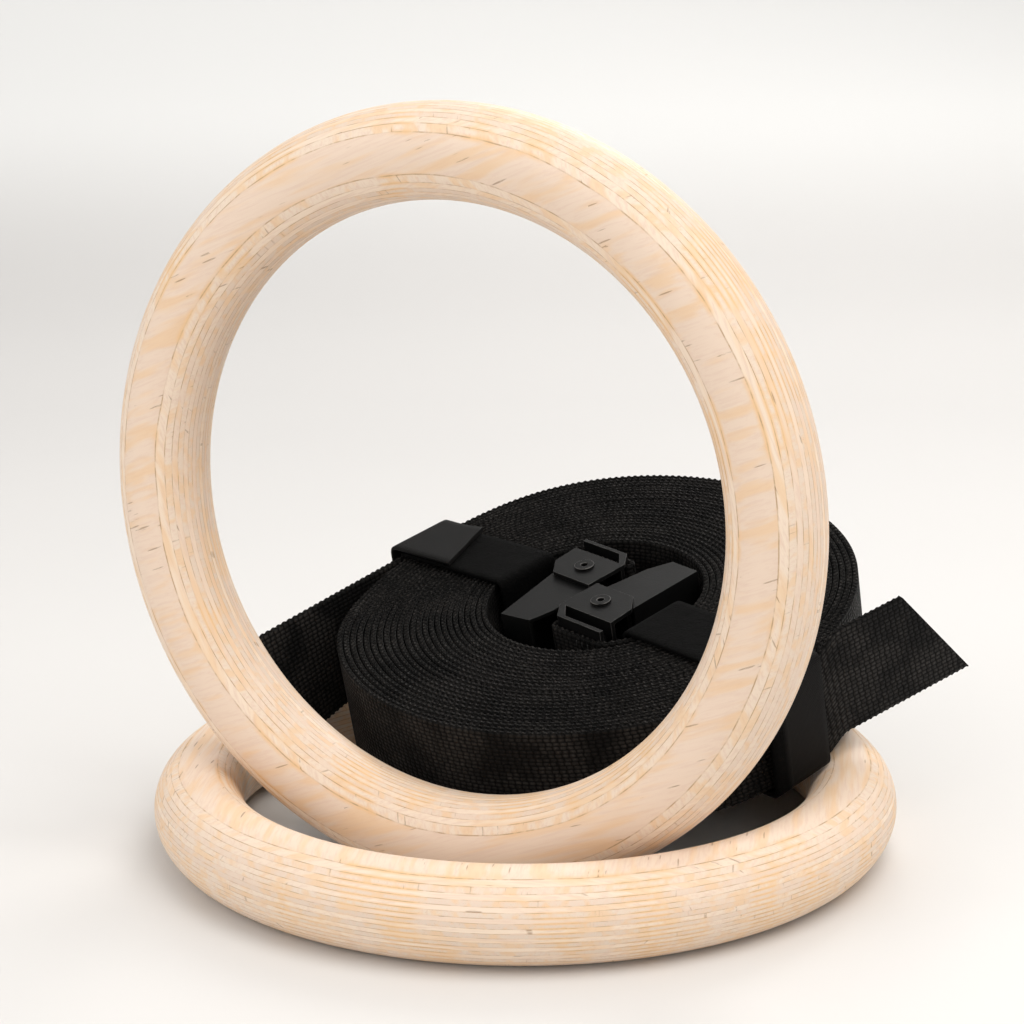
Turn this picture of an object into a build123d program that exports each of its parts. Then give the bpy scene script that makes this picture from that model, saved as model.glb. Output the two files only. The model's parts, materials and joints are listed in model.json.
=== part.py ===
from build123d import *
import os
from math import cos, pi, radians, sin

# Gymnastics rings, packed away: one wooden ring lies flat, the second stands in it,
# and behind them lies the coil of both hanging straps with its two cam buckles.
# Millimetres, +Z up. The origin is on the floor under the centre of the lying ring,
# and -Y is the side that the rings are looked at from.

# ---- wooden rings
ring_tube = 28.5
ring_inner_diameter = 180.0
ring_radius = (ring_inner_diameter + ring_tube) / 2
standing_centre = (-22.2, -41.9)
standing_yaw = -29.3
standing_lean = 0.2

# ---- webbing, 38 mm wide, wound in pairs with both starts in the middle
webbing_width = 38.0
webbing_thickness = 1.75
layer_pitch = 2.14
half_turns = 24
inner_radius = 38.4

# ---- the coil lies against the rim of the lying ring
coil_top = (23.8, 40.7, 69.35)
coil_lean = 12.66
coil_side_tilt = -8.0
coil_turn = -50.4

# ---- cam buckles: a folded sheet frame, a sprung cam lever and a tubular rivet
sheet = 1.5
buckle_top = 2.8
buckle_gap = 39.6
axle_x = -11.4
axle_y = 7.1
axle_radius = 2.0
axle_bore = 1.2
rivet_head_radius = 3.4
rivet_head = 0.9
bar_clearance = 0.3
lever_sheet = 1.2
lever_side_gap = 0.25
lever_bore_radius = 2.06
lever_length = 36.0
cam_radius = 5.6
cam_inner_radius = 4.3
tooth_height = 0.6
spring_wire = 0.9
spring_radius = 3.2
spring_pitch = 1.3
spring_coils = 5
spring_leg = 6.0
lever_turns = {"1": 84.1, "2": -84.3}

# ---- tie band, hook-and-loop tape
band_width = 25.0
band_thickness = 1.5
band_centre = -3.0
band_lift = 0.3
band_corner = 1.6

# ---- free strap ends
tail_splay = {"1": 6.5, "2": 1.5}
tail_rise = {"1": 5.4, "2": 8.4}

buckle_bottom = buckle_top - 2 * sheet - buckle_gap
ear_inner_top = buckle_top - sheet
ear_inner_bottom = buckle_bottom + sheet
strap_end_radius = inner_radius + (half_turns - 0.5) * layer_pitch

os.makedirs("parts", exist_ok=True)


def save(part, name):
    """Label a finished piece and write its STEP file."""
    part.label = name
    export_step(part, "parts/" + name + ".step")


def lean_plane(centre, lean, side_tilt, turn):
    """A plane at centre that leans towards -Y and sideways, turned about its own normal."""
    normal = Vector(
        sin(radians(side_tilt)),
        -sin(radians(lean)) * cos(radians(side_tilt)),
        cos(radians(lean)) * cos(radians(side_tilt)),
    )
    across = Vector(0, 1, 0).cross(normal).normalized()
    flat = Plane(origin=centre, x_dir=across, z_dir=normal)
    return Plane(flat.location * Location((0, 0, 0), (0, 0, turn)))


coil_plane = lean_plane(coil_top, coil_lean, coil_side_tilt, coil_turn)


def coil_side(turned):
    """The coil's plane, or the same plane turned half round for the second strap."""
    return Plane(coil_plane.location * Location((0, 0, 0), (0, 0, 180 if turned else 0)))


def upright_plane(base, at, splay=0.0):
    """A plane whose X runs along the base plane's Y and whose Y is the base plane's normal."""
    foot = Location(at, (0, 0, -splay))
    return Plane(base.location * foot * Location((0, 0, 0), (90, 90, 0)))


# ------------------------------------------------------------------ wooden rings
def wooden_ring(plane):
    """A round-section ring whose centre line lies in the given plane."""
    with BuildPart() as ring:
        with BuildSketch(Plane(origin=plane.origin, x_dir=plane.x_dir, z_dir=-plane.y_dir)):
            with Locations((ring_radius, 0)):
                Circle(ring_tube / 2)
        revolve(axis=Axis(plane.origin, plane.z_dir))
    return ring.part


lying_plane = Plane(origin=(0, 0, ring_tube / 2))
save(wooden_ring(lying_plane), "ring_lower")

standing_height = ring_radius * cos(radians(standing_lean)) + ring_tube / 2
facing = Vector(
    sin(radians(standing_yaw)) * cos(radians(standing_lean)),
    -cos(radians(standing_yaw)) * cos(radians(standing_lean)),
    sin(radians(standing_lean)),
)
standing_plane = Plane(
    origin=(standing_centre[0], standing_centre[1], standing_height),
    x_dir=Vector(0, 0, 1).cross(facing).normalized(),
    z_dir=facing,
)
save(wooden_ring(standing_plane), "ring_upper")


# ------------------------------------------------------------------ straps
def wound_strap(plane):
    """One strap of the pair: half turns about two centres, each a layer pitch wider."""
    half = webbing_thickness / 2
    last_radius = inner_radius + (half_turns - 1) * layer_pitch
    with BuildPart() as strap:
        with BuildSketch(plane.offset(-webbing_width)):
            with BuildLine():
                for turn in range(half_turns):
                    radius = inner_radius + turn * layer_pitch
                    odd = turn % 2
                    centre = (layer_pitch / 2 if odd else -layer_pitch / 2, 0)
                    CenterArc(centre, radius - half, 180 * odd, 180)
                    CenterArc(centre, radius + half, 180 * odd, 180)
                start = inner_radius - layer_pitch / 2
                end = last_radius + layer_pitch / 2
                Line((start - half, 0), (start + half, 0))
                Line((end - half, 0), (end + half, 0))
            make_face()
        extrude(amount=webbing_width)
    return strap.part


def strap_tail(plane, splay, outline):
    """The free end: it leaves the coil along its tangent, splays out a little and climbs."""
    side = upright_plane(plane, (strap_end_radius, 0, 0), splay)
    with BuildPart() as tail:
        with BuildSketch(side.offset(-webbing_thickness / 2)):
            with BuildLine():
                Polyline(*outline, close=True)
            make_face()
        extrude(amount=webbing_thickness)
    return tail.part


def tail_outline(top_length, bottom_length, band_edge, lift):
    """Outline of a free end, along the strap and up: it climbs by lift once past the tie band."""
    return [
        (0.2, 0),
        (band_edge, 0),
        (band_edge + 8, lift),
        (top_length, lift),
        (bottom_length, lift - webbing_width),
        (band_edge + 8, lift - webbing_width),
        (band_edge, -webbing_width),
        (0.2, -webbing_width),
    ]


# the sewn end: a flat loop round the buckle's bar, and the lead to the innermost turn
bar_left = -26.0
bar_right = -5.8
bar_near = 20.3
bar_far = bar_near + sheet
loop_centre = ((bar_left + bar_right) / 2, (bar_near + bar_far) / 2)
loop_inner = (bar_right - bar_left + 2.1, sheet + 2 * bar_clearance)
loop_outer = (loop_inner[0] + 2 * webbing_thickness, loop_inner[1] + 2 * webbing_thickness)
lead_start = (-(inner_radius - layer_pitch / 2), 0.2)
lead_middle = (-34.2, 12.0)
lead_end = (loop_centre[0] - loop_outer[0] / 2 + 0.5, loop_centre[1])


def buckle_loop(plane):
    """The sewn loop and its lead, seen in the frame of the buckle that it holds."""
    with BuildPart() as loop:
        with BuildSketch(plane.offset(-webbing_width)):
            with BuildLine() as lead:
                ThreePointArc(lead_start, lead_middle, lead_end)
            trace(lead.line, line_width=webbing_thickness)
            with Locations(loop_centre):
                SlotOverall(*loop_outer)
                SlotOverall(*loop_inner, mode=Mode.SUBTRACT)
        extrude(amount=webbing_width)
    return loop.part


stitch_rows = 3
stitch_row_gap = 2.6
stitch_count = 11
stitch_length = 2.2
stitch_step = webbing_width / (stitch_count + 1)
stitch_size = 0.45
stitch_offset = -3.0


def sewn_stitches(plane):
    """Rows of thread across the loop's outer layer."""
    face_y = loop_centre[1] + loop_outer[1] / 2
    side = Plane(plane.location * Location((loop_centre[0], face_y, 0), (-90, 0, 0)))
    with BuildPart() as stitches:
        with BuildSketch(side):
            with Locations((stitch_offset, webbing_width / 2)):
                with GridLocations(stitch_row_gap, stitch_step, stitch_rows, stitch_count):
                    Rectangle(stitch_size, stitch_length)
        extrude(amount=stitch_size)
    return stitches.part


# ------------------------------------------------------------------ cam buckles
ear_outline = [(-24.4, 15.3), (-23.6, 5.0), (-18.2, -1.2), (-0.8, -1.2), (-0.8, 15.3)]
link_outline = [(-3.0, 15.3), (-0.8, 13.8), (-0.8, 15.8), (-5.8, 21.8), (-8.0, 21.8), (-8.0, 20.3)]
base_left = -24.4
base_right = -0.8
base_near = 15.3 - sheet
base_window = (9.0, 26.0)


def buckle_frame(plane):
    """A base plate with two ears bent off it, and a strap bar carried on two links."""
    height = buckle_top - buckle_bottom
    base_middle = ((base_left + base_right) / 2, base_near + sheet / 2)
    with BuildPart() as frame:
        with BuildSketch(plane.offset(buckle_bottom)):
            with Locations(base_middle):
                Rectangle(base_right - base_left, sheet)
            with Locations(loop_centre):
                Rectangle(bar_right - bar_left, sheet)
        extrude(amount=height)
        for level in (buckle_bottom, ear_inner_top):
            with BuildSketch(plane.offset(level)):
                for outline in (ear_outline, link_outline):
                    with BuildLine():
                        Polyline(*outline, close=True)
                    make_face()
                with Locations((axle_x, axle_y)):
                    Circle(axle_radius, mode=Mode.SUBTRACT)
            extrude(amount=sheet)
        face_y = base_near - 1
        window_plane = Plane(plane.location * Location((base_middle[0], face_y, 0), (-90, 0, 0)))
        with BuildSketch(window_plane):
            with Locations((0, -(buckle_top + buckle_bottom) / 2)):
                RectangleRounded(*base_window, 1.5)
        extrude(amount=sheet + 2, mode=Mode.SUBTRACT)
    return frame.part


lever_outline_left = [(6.0, 9.4), (26.0, 8.4)]
lever_outline_right = [(lever_length, -6.2), (6.0, -9.4)]
lever_root = 6.6
tooth_angles = [130, 155, 180, 205, 230]


def lever_place(plane, turn):
    """The lever's own frame: its X runs from the axle to the thumb tip."""
    return Plane(plane.location * Location((axle_x, axle_y, 0), (0, 0, turn)))


def cam_lever(place):
    """Two flat flanges joined by the thumb plate and by the toothed cam at the root."""
    top = ear_inner_top - lever_side_gap
    bottom = ear_inner_bottom + lever_side_gap
    with BuildPart() as lever:
        for level in (bottom, top - lever_sheet):
            with BuildSketch(place.offset(level)):
                with BuildLine():
                    Polyline(
                        (0, lever_root),
                        *lever_outline_left,
                        (lever_length - 1, 5.6),
                        *lever_outline_right,
                        (0, -lever_root),
                        close=True,
                    )
                make_face()
                Circle(lever_root)
                Circle(lever_bore_radius, mode=Mode.SUBTRACT)
            extrude(amount=lever_sheet)
        with BuildSketch(place.offset(bottom)):
            with BuildLine():
                Polyline(
                    lever_outline_right[1],
                    lever_outline_right[0],
                    (lever_length - 1, 5.6),
                    (lever_length - 1 - lever_sheet, 5.6),
                    (lever_length - lever_sheet - 0.2, -6.2 + lever_sheet),
                    (6.0, -9.4 + lever_sheet),
                    close=True,
                )
            make_face()
        extrude(amount=top - bottom)
        with BuildSketch(place.offset(bottom)):
            Circle(cam_radius)
            for angle in tooth_angles:
                with Locations(Location((0, 0, 0), (0, 0, angle))):
                    with Locations((cam_radius, 0)):
                        Triangle(a=1.6, b=1.6, c=1.9, rotation=-90)
            Circle(cam_inner_radius, mode=Mode.SUBTRACT)
            with Locations((cam_radius + 1, 0)):
                Rectangle(2 * cam_radius + 6, 3 * cam_radius, mode=Mode.SUBTRACT)
        extrude(amount=top - bottom)
    return lever.part


def hollow_axle(plane):
    """A tubular rivet with a rolled head on each ear."""
    with BuildPart() as axle:
        with BuildSketch(plane.offset(buckle_bottom - rivet_head)):
            with Locations((axle_x, axle_y)):
                Circle(axle_radius)
        extrude(amount=buckle_top - buckle_bottom + 2 * rivet_head)
        for level in (buckle_bottom - rivet_head, buckle_top):
            with BuildSketch(plane.offset(level)):
                with Locations((axle_x, axle_y)):
                    Circle(rivet_head_radius)
            extrude(amount=rivet_head)
        with BuildSketch(plane.offset(buckle_bottom - rivet_head)):
            with Locations((axle_x, axle_y)):
                Circle(axle_bore)
        extrude(amount=buckle_top - buckle_bottom + 2 * rivet_head, mode=Mode.SUBTRACT)
    return axle.part


def cam_spring(place):
    """A torsion spring round the axle, with two legs that lie inside the lever."""
    height = spring_coils * spring_pitch
    with BuildPart() as spring:
        with BuildLine():
            coil = Helix(pitch=spring_pitch, height=height, radius=spring_radius)
        for end, toward in ((coil @ 0, coil % 0 * -1), (coil @ 1, coil % 1)):
            with BuildSketch(Plane(origin=end, z_dir=toward)):
                Circle(spring_wire / 2)
            extrude(amount=spring_leg)
        with BuildSketch(Plane(origin=coil @ 0, z_dir=coil % 0)):
            Circle(spring_wire / 2)
        sweep(path=coil, is_frenet=True)
    middle = (buckle_top + buckle_bottom) / 2
    return spring.part.moved(place.location * Location((0, 0, middle - height / 2)))


# strap 1 holds the buckle nearer -Y, strap 2 the one behind it
for strap, turned in (("1", True), ("2", False)):
    own_plane = coil_side(turned)
    wound_plane = coil_side(not turned)
    save(wound_strap(wound_plane), "strap_" + strap + "_coil")
    save(buckle_loop(own_plane), "strap_" + strap + "_buckle_loop")
    save(sewn_stitches(own_plane), "strap_" + strap + "_stitching")
    save(buckle_frame(own_plane), "buckle_" + strap + "_frame")
    save(hollow_axle(own_plane), "buckle_" + strap + "_axle")
    lever_turn = lever_turns[strap] - (180 if turned else 0)
    own_lever = lever_place(own_plane, lever_turn)
    save(cam_lever(own_lever), "buckle_" + strap + "_cam_lever")
    save(cam_spring(own_lever), "buckle_" + strap + "_spring")

# each free end: lengths of its two edges, and where it clears the tie band
tail_cut = {"1": (46.0, 73.0, 10.0), "2": (86.0, 84.0, 16.0)}
for strap, turned in (("1", False), ("2", True)):
    outline = tail_outline(*tail_cut[strap], tail_rise[strap])
    save(strap_tail(coil_side(turned), tail_splay[strap], outline), "strap_" + strap + "_tail")


# ------------------------------------------------------------------ tie band
wall_x = strap_end_radius + 3.1
top_line = band_lift + band_thickness / 2
under_line = -webbing_width - band_lift - band_thickness / 2
dip_x = 29.8
dip_line = buckle_bottom - rivet_head - band_thickness
low_line = dip_line - band_thickness - 0.3
band_side = Plane(
    coil_plane.location * Location((0, band_centre + band_width / 2, 0), (90, 0, 0))
)


def band_strip(routes):
    """Stretches of the tape, each a line in the coil's cross-section given the tape's section."""
    with BuildPart() as strip:
        for points in routes:
            with BuildSketch(band_side):
                with BuildLine() as route:
                    FilletPolyline(*points, radius=band_corner)
                trace(route.line, line_width=band_thickness)
            extrude(amount=band_width)
    return strip.part


# over the coil, down into its hollow under the buckles, and over its other side
upper_route = [
    (-86.0, top_line),
    (-dip_x, top_line),
    (-dip_x, -34.0),
    (-dip_x + 2.5, dip_line),
    (dip_x - 2.5, dip_line),
    (dip_x, -34.0),
    (dip_x, top_line),
    (wall_x, top_line),
    (wall_x, -webbing_width / 2),
]
# down the coil's wall, back underneath and up the far wall
under_route = [
    (wall_x, -webbing_width / 2),
    (wall_x, under_line),
    (42.0, under_line),
    (24.0, low_line),
    (-24.0, low_line),
    (-42.0, under_line),
    (-wall_x, under_line),
    (-wall_x, 0.6),
]
save(band_strip([upper_route, under_route]), "tie_band")

tab_line = top_line + band_thickness + 0.3
with BuildPart() as tie_tab:
    with BuildSketch(band_side):
        with BuildLine() as tab_route:
            Line((-wall_x + 1.5, tab_line), (-58.0, tab_line))
        trace(tab_route.line, line_width=band_thickness)
    extrude(amount=band_width)
save(tie_tab.part, "tie_band_hook_tab")

wound_length = sum(pi * (inner_radius + turn * layer_pitch) for turn in range(half_turns))
print("each strap's length in the coil, mm:", round(wound_length))
print("coil radius, mm:", round(strap_end_radius + webbing_thickness / 2, 2))
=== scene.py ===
import json
from math import cos, pi, radians, sin

import bmesh
import bpy
import numpy as np
from mathutils import Matrix, Vector


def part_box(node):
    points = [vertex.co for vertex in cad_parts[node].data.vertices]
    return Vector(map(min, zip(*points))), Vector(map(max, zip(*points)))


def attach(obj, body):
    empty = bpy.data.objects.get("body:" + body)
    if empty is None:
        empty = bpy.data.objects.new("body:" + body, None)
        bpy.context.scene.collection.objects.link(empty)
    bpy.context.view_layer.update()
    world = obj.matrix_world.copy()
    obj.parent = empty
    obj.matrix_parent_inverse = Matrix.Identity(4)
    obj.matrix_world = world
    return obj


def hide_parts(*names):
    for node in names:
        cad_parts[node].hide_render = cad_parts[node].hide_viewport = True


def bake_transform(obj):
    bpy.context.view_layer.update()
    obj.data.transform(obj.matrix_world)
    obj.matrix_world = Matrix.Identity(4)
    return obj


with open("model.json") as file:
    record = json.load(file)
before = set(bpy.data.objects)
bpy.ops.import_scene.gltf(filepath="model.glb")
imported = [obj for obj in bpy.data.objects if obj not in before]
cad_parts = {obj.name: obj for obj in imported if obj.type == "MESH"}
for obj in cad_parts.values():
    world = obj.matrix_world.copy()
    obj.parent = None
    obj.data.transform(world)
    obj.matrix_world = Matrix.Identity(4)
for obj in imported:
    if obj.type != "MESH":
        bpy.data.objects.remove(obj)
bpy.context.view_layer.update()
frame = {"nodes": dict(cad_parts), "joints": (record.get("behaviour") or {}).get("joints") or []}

mm = 0.001
upAxis = Vector((0, 0, 1))

# the coil's own frame, read from the joints: its top face is level 0, and Y runs along the tie band's width
joints = {joint["name"]: joint for joint in frame["joints"]}
coilUp = Vector(joints["lever_1_turn"]["axis"]).normalized()
coilY = -Vector(joints["hook_tab_peel"]["axis"]).normalized()
coilX = coilY.cross(coilUp).normalized()
pivotDepth = 18.5
pivots = [Vector(joints[name]["pos_m"]) for name in ("lever_1_turn", "lever_2_turn")]
coilTop = (pivots[0] + pivots[1]) / 2 + coilUp * pivotDepth * mm
coilFrame = Matrix((coilX, coilY, coilUp)).transposed().to_4x4()
coilFrame.translation = coilTop


# small helpers for node trees
def addNode(tree, kind, inputs=None, **settings):
    made = tree.nodes.new(kind)
    for name, value in settings.items():
        setattr(made, name, value)
    for key, value in (inputs or {}).items():
        if isinstance(value, bpy.types.NodeSocket):
            tree.links.new(value, made.inputs[key])
        else:
            made.inputs[key].default_value = value
    return made


def calc(tree, operation, *values, clamp=False):
    made = addNode(tree, "ShaderNodeMath", dict(enumerate(values)), operation=operation, use_clamp=clamp)
    return made.outputs[0]


def vectorCalc(tree, operation, first, second=None):
    inputs = {0: first}
    if second is not None:
        inputs["Scale" if operation == "SCALE" else 1] = second
    return addNode(tree, "ShaderNodeVectorMath", inputs, operation=operation).outputs[0]


def blendColour(tree, factor, first, second, mode="MIX"):
    inputs = {0: factor, 6: first, 7: second}
    return addNode(tree, "ShaderNodeMix", inputs, data_type="RGBA", blend_type=mode).outputs[2]


def blendValue(tree, factor, first, second):
    return addNode(tree, "ShaderNodeMix", {0: factor, 2: first, 3: second}).outputs[0]


def between(tree, value, low, high, toLow=0.0, toHigh=1.0):
    inputs = {"Value": value, "From Min": low, "From Max": high, "To Min": toLow, "To Max": toHigh}
    return addNode(tree, "ShaderNodeMapRange", inputs, interpolation_type="SMOOTHSTEP").outputs[0]


def noise(tree, vector, scale, detail=2.0, roughness=0.5):
    inputs = {"Vector": vector, "Scale": scale, "Detail": detail, "Roughness": roughness}
    return addNode(tree, "ShaderNodeTexNoise", inputs).outputs[0]


def newGroup(name, inputs, outputs):
    group = bpy.data.node_groups.new(name, "ShaderNodeTree")
    for title, kind, value in inputs:
        socket = group.interface.new_socket(name=title, in_out="INPUT", socket_type="NodeSocket" + kind)
        if value is not None:
            socket.default_value = value
    for title, kind in outputs:
        group.interface.new_socket(name=title, in_out="OUTPUT", socket_type="NodeSocket" + kind)
    return group, group.nodes.new("NodeGroupInput").outputs, group.nodes.new("NodeGroupOutput").inputs


def useGroup(tree, group, inputs):
    return addNode(tree, "ShaderNodeGroup", inputs, node_tree=group).outputs


def newMaterial(name):
    material = bpy.data.materials.new(name)
    material.use_nodes = True
    tree = material.node_tree
    tree.nodes.clear()
    shader = tree.nodes.new("ShaderNodeBsdfPrincipled")
    addNode(tree, "ShaderNodeOutputMaterial", {"Surface": shader.outputs[0]})
    return material, tree, shader


def setShader(tree, shader, inputs):
    for key, value in inputs.items():
        if isinstance(value, bpy.types.NodeSocket):
            tree.links.new(value, shader.inputs[key])
        else:
            shader.inputs[key].default_value = value


def bump(tree, height, distance):
    return addNode(tree, "ShaderNodeBump", {"Height": height, "Distance": distance}).outputs[0]


def separate(tree, vector):
    return addNode(tree, "ShaderNodeSeparateXYZ", {0: vector}).outputs


def combine(tree, *values):
    return addNode(tree, "ShaderNodeCombineXYZ", dict(enumerate(values))).outputs[0]


def objectCoords(tree):
    return tree.nodes.new("ShaderNodeTexCoord").outputs["Object"]


# turned plywood
ringValues = {
    "plyThickness": 1.43,
    "topPly": 9.0,
    "bottomPly": -10.0,
    "standingYaw": -29.3,
    "standingLean": 0.2,
    "aroundRing": 420,
    "aroundTube": 84,
    "sandedWave": 0.05,
    "cream": (0.86, 0.705, 0.56, 1),
    "rose": (0.765, 0.58, 0.46, 1),
    "grey": (0.67, 0.555, 0.465, 1),
    "glue": (0.50, 0.325, 0.185, 1),
    "amber": (0.82, 0.53, 0.27, 1),
    "pore": (0.24, 0.125, 0.05, 1),
}


def makePlywood():
    group, given, out = newGroup(
        "plywood",
        [
            ("Position", "Vector", None),
            ("Tube Radius", "Float", 14.25),
            ("Ply Thickness", "Float", 1.43),
            ("Grain Angle", "Float", 0.3),
            ("Seed", "Float", 0.0),
            ("Cream", "Color", (1, 1, 1, 1)),
            ("Rose", "Color", (1, 1, 1, 1)),
            ("Grey", "Color", (1, 1, 1, 1)),
            ("Glue", "Color", (1, 1, 1, 1)),
            ("Amber", "Color", (1, 1, 1, 1)),
            ("Pore", "Color", (1, 1, 1, 1)),
        ],
        [("Colour", "Color"), ("Roughness", "Float"), ("Height", "Float")],
    )
    inMillimetres = vectorCalc(group, "SCALE", given["Position"], 1000.0)
    turned = addNode(
        group, "ShaderNodeVectorRotate", {"Vector": inMillimetres, "Angle": given["Grain Angle"]}
    ).outputs[0]
    split = separate(group, turned)
    seedShift = calc(group, "MULTIPLY", given["Seed"], 31.7)
    shifted = vectorCalc(group, "ADD", turned, combine(group, seedShift, seedShift))
    # which ply, and how far from its glue lines
    wave = calc(group, "MULTIPLY", calc(group, "SUBTRACT", noise(group, shifted, 0.035), 0.5), 0.55)
    level = calc(group, "DIVIDE", calc(group, "ADD", split[2], wave), given["Ply Thickness"])
    # the outermost plies take in the last slivers of the tube
    ply = calc(group, "MINIMUM", calc(group, "FLOOR", level), ringValues["topPly"])
    ply = calc(group, "MAXIMUM", ply, ringValues["bottomPly"])
    inPly = calc(group, "SUBTRACT", level, ply)
    fromEdge = calc(group, "MINIMUM", inPly, calc(group, "SUBTRACT", 1.0, inPly))
    lastHalf = calc(group, "SUBTRACT", calc(group, "ABSOLUTE", level), ringValues["topPly"] + 0.5)
    outermost = calc(group, "MULTIPLY", lastHalf, 20.0)
    toGlue = calc(group, "MULTIPLY", calc(group, "MAXIMUM", fromEdge, outermost), given["Ply Thickness"])
    odd = calc(group, "FLOORED_MODULO", ply, 2.0)
    seeded = calc(group, "ADD", ply, given["Seed"])
    plyRandom = addNode(group, "ShaderNodeTexWhiteNoise", {"W": seeded}, noise_dimensions="1D").outputs
    # plies alternate: along the grain in one, across it in the next
    along = blendValue(group, odd, split[0], split[1])
    across = blendValue(group, odd, split[1], split[0])
    plyShift = calc(group, "MULTIPLY", seeded, 17.3)
    squares = [calc(group, "MULTIPLY", value, value) for value in (along, across)]
    facing = calc(group, "DIVIDE", along, calc(group, "SQRT", calc(group, "ADD", *squares)))
    heightShare = calc(group, "DIVIDE", split[2], given["Tube Radius"])
    onSide = calc(group, "SUBTRACT", 1.0, calc(group, "MULTIPLY", heightShare, heightShare), clamp=True)
    endGrain = calc(group, "MULTIPLY", calc(group, "MULTIPLY", facing, facing), onSide)
    fibre = combine(
        group,
        calc(group, "MULTIPLY", along, 0.05),
        calc(group, "MULTIPLY", across, 1.1),
        calc(group, "ADD", calc(group, "MULTIPLY", split[2], 1.1), plyShift),
    )
    streak = noise(group, fibre, 1.0, 5.0, 0.62)
    broad = noise(group, vectorCalc(group, "MULTIPLY", fibre, (0.5, 0.22, 0.22)), 1.0, 2.0)
    speckle = noise(group, shifted, 2.4, 2.0, 0.7)
    # base colour
    rosy = between(group, plyRandom[0], 0.35, 0.9, 0.0, 0.55)
    colour = blendColour(group, rosy, given["Cream"], given["Rose"])
    colour = blendColour(group, calc(group, "MULTIPLY", endGrain, 0.62), colour, given["Grey"])
    colour = blendColour(group, between(group, streak, 0.44, 0.66, 0.0, 0.75), colour, given["Rose"])
    golden = calc(group, "MULTIPLY", between(group, broad, 0.46, 0.66), 0.50)
    colour = blendColour(group, golden, colour, given["Amber"])
    # amber stain along some glue lines
    patches = between(group, noise(group, shifted, 0.045, 3.0), 0.49, 0.63)
    stain = calc(group, "MULTIPLY", patches, between(group, toGlue, 0.60, 0.02))
    colour = blendColour(group, calc(group, "MULTIPLY", stain, 0.85), colour, given["Amber"])
    # broken glue lines
    broken = between(group, noise(group, shifted, 0.16, 4.0, 0.6), 0.40, 0.62, 0.15, 0.95)
    glueLine = calc(group, "MULTIPLY", between(group, toGlue, 0.12, 0.03), broken)
    colour = blendColour(group, glueLine, colour, given["Glue"])
    # short dark rays lying along the grain
    rayPlace = combine(
        group,
        calc(group, "MULTIPLY", along, 0.085),
        calc(group, "MULTIPLY", across, 0.95),
        calc(group, "MULTIPLY", plyShift, 1.37),
    )
    cells = addNode(
        group, "ShaderNodeTexVoronoi", {"Vector": rayPlace, "Scale": 1.0, "Randomness": 1.0}
    ).outputs
    cellRandom = addNode(group, "ShaderNodeSeparateColor", {0: cells["Color"]}).outputs
    rayLength = calc(group, "MULTIPLY", cellRandom[1], 0.20)
    clusters = between(group, noise(group, shifted, 0.03, 2.0), 0.44, 0.6, 0.06, 0.55)
    isRay = calc(group, "LESS_THAN", cellRandom[0], clusters)
    faint = calc(group, "ADD", rayLength, 0.10)
    full = calc(group, "ADD", rayLength, 0.02)
    ray = calc(group, "MULTIPLY", isRay, between(group, cells["Distance"], faint, full))
    ray = calc(group, "MULTIPLY", ray, calc(group, "SUBTRACT", 1.0, endGrain, clamp=True))
    ray = calc(group, "MULTIPLY", ray, between(group, streak, 0.34, 0.52))
    colour = blendColour(group, calc(group, "MULTIPLY", ray, 0.55), colour, given["Pore"])
    # open pores where the end grain shows
    poreShare = calc(group, "ADD", calc(group, "MULTIPLY", endGrain, 0.32), 0.05)
    pores = calc(group, "MULTIPLY", between(group, speckle, 0.60, 0.72), poreShare)
    colour = blendColour(group, pores, colour, given["Glue"])
    group.links.new(colour, out["Colour"])
    group.links.new(between(group, streak, 0.3, 0.7, 0.42, 0.58), out["Roughness"])
    relief = calc(group, "MULTIPLY", streak, 0.5)
    relief = calc(group, "SUBTRACT", relief, calc(group, "MULTIPLY", ray, 0.8))
    relief = calc(group, "SUBTRACT", relief, calc(group, "MULTIPLY", glueLine, 0.35))
    relief = calc(group, "SUBTRACT", relief, calc(group, "MULTIPLY", pores, 0.9))
    group.links.new(relief, out["Height"])
    return group


plywood = makePlywood()


def ringWood(name, centre, turn, seed, grainAngle):
    material, tree, shader = newMaterial(name)
    placed = addNode(
        tree, "ShaderNodeMapping", {"Vector": objectCoords(tree), "Location": centre, "Rotation": turn},
        vector_type="TEXTURE",
    ).outputs[0]
    inputs = {
        "Position": placed,
        "Ply Thickness": ringValues["plyThickness"],
        "Grain Angle": radians(grainAngle),
        "Seed": seed,
    }
    for title in ("Cream", "Rose", "Grey", "Glue", "Amber", "Pore"):
        inputs[title] = ringValues[title.lower()]
    made = useGroup(tree, plywood, inputs)
    setShader(tree, shader, {
        "Base Color": made["Colour"],
        "Roughness": made["Roughness"],
        "Normal": bump(tree, made["Height"], 0.00008),
        "Specular IOR Level": 0.38,
    })
    return material


def finishTree(tree, geometry, given, place):
    # moves the grown geometry into place, as one plain mesh with its material
    inputs = {"Geometry": geometry, "Translation": given[place], "Rotation": given["Turn"]}
    moved = addNode(tree, "GeometryNodeTransform", inputs).outputs[0]
    single = addNode(tree, "GeometryNodeRealizeInstances", {"Geometry": moved}).outputs[0]
    inputs = {"Geometry": single, "Material": given["Material"]}
    addNode(tree, "NodeGroupOutput", {0: addNode(tree, "GeometryNodeSetMaterial", inputs).outputs[0]})


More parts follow.
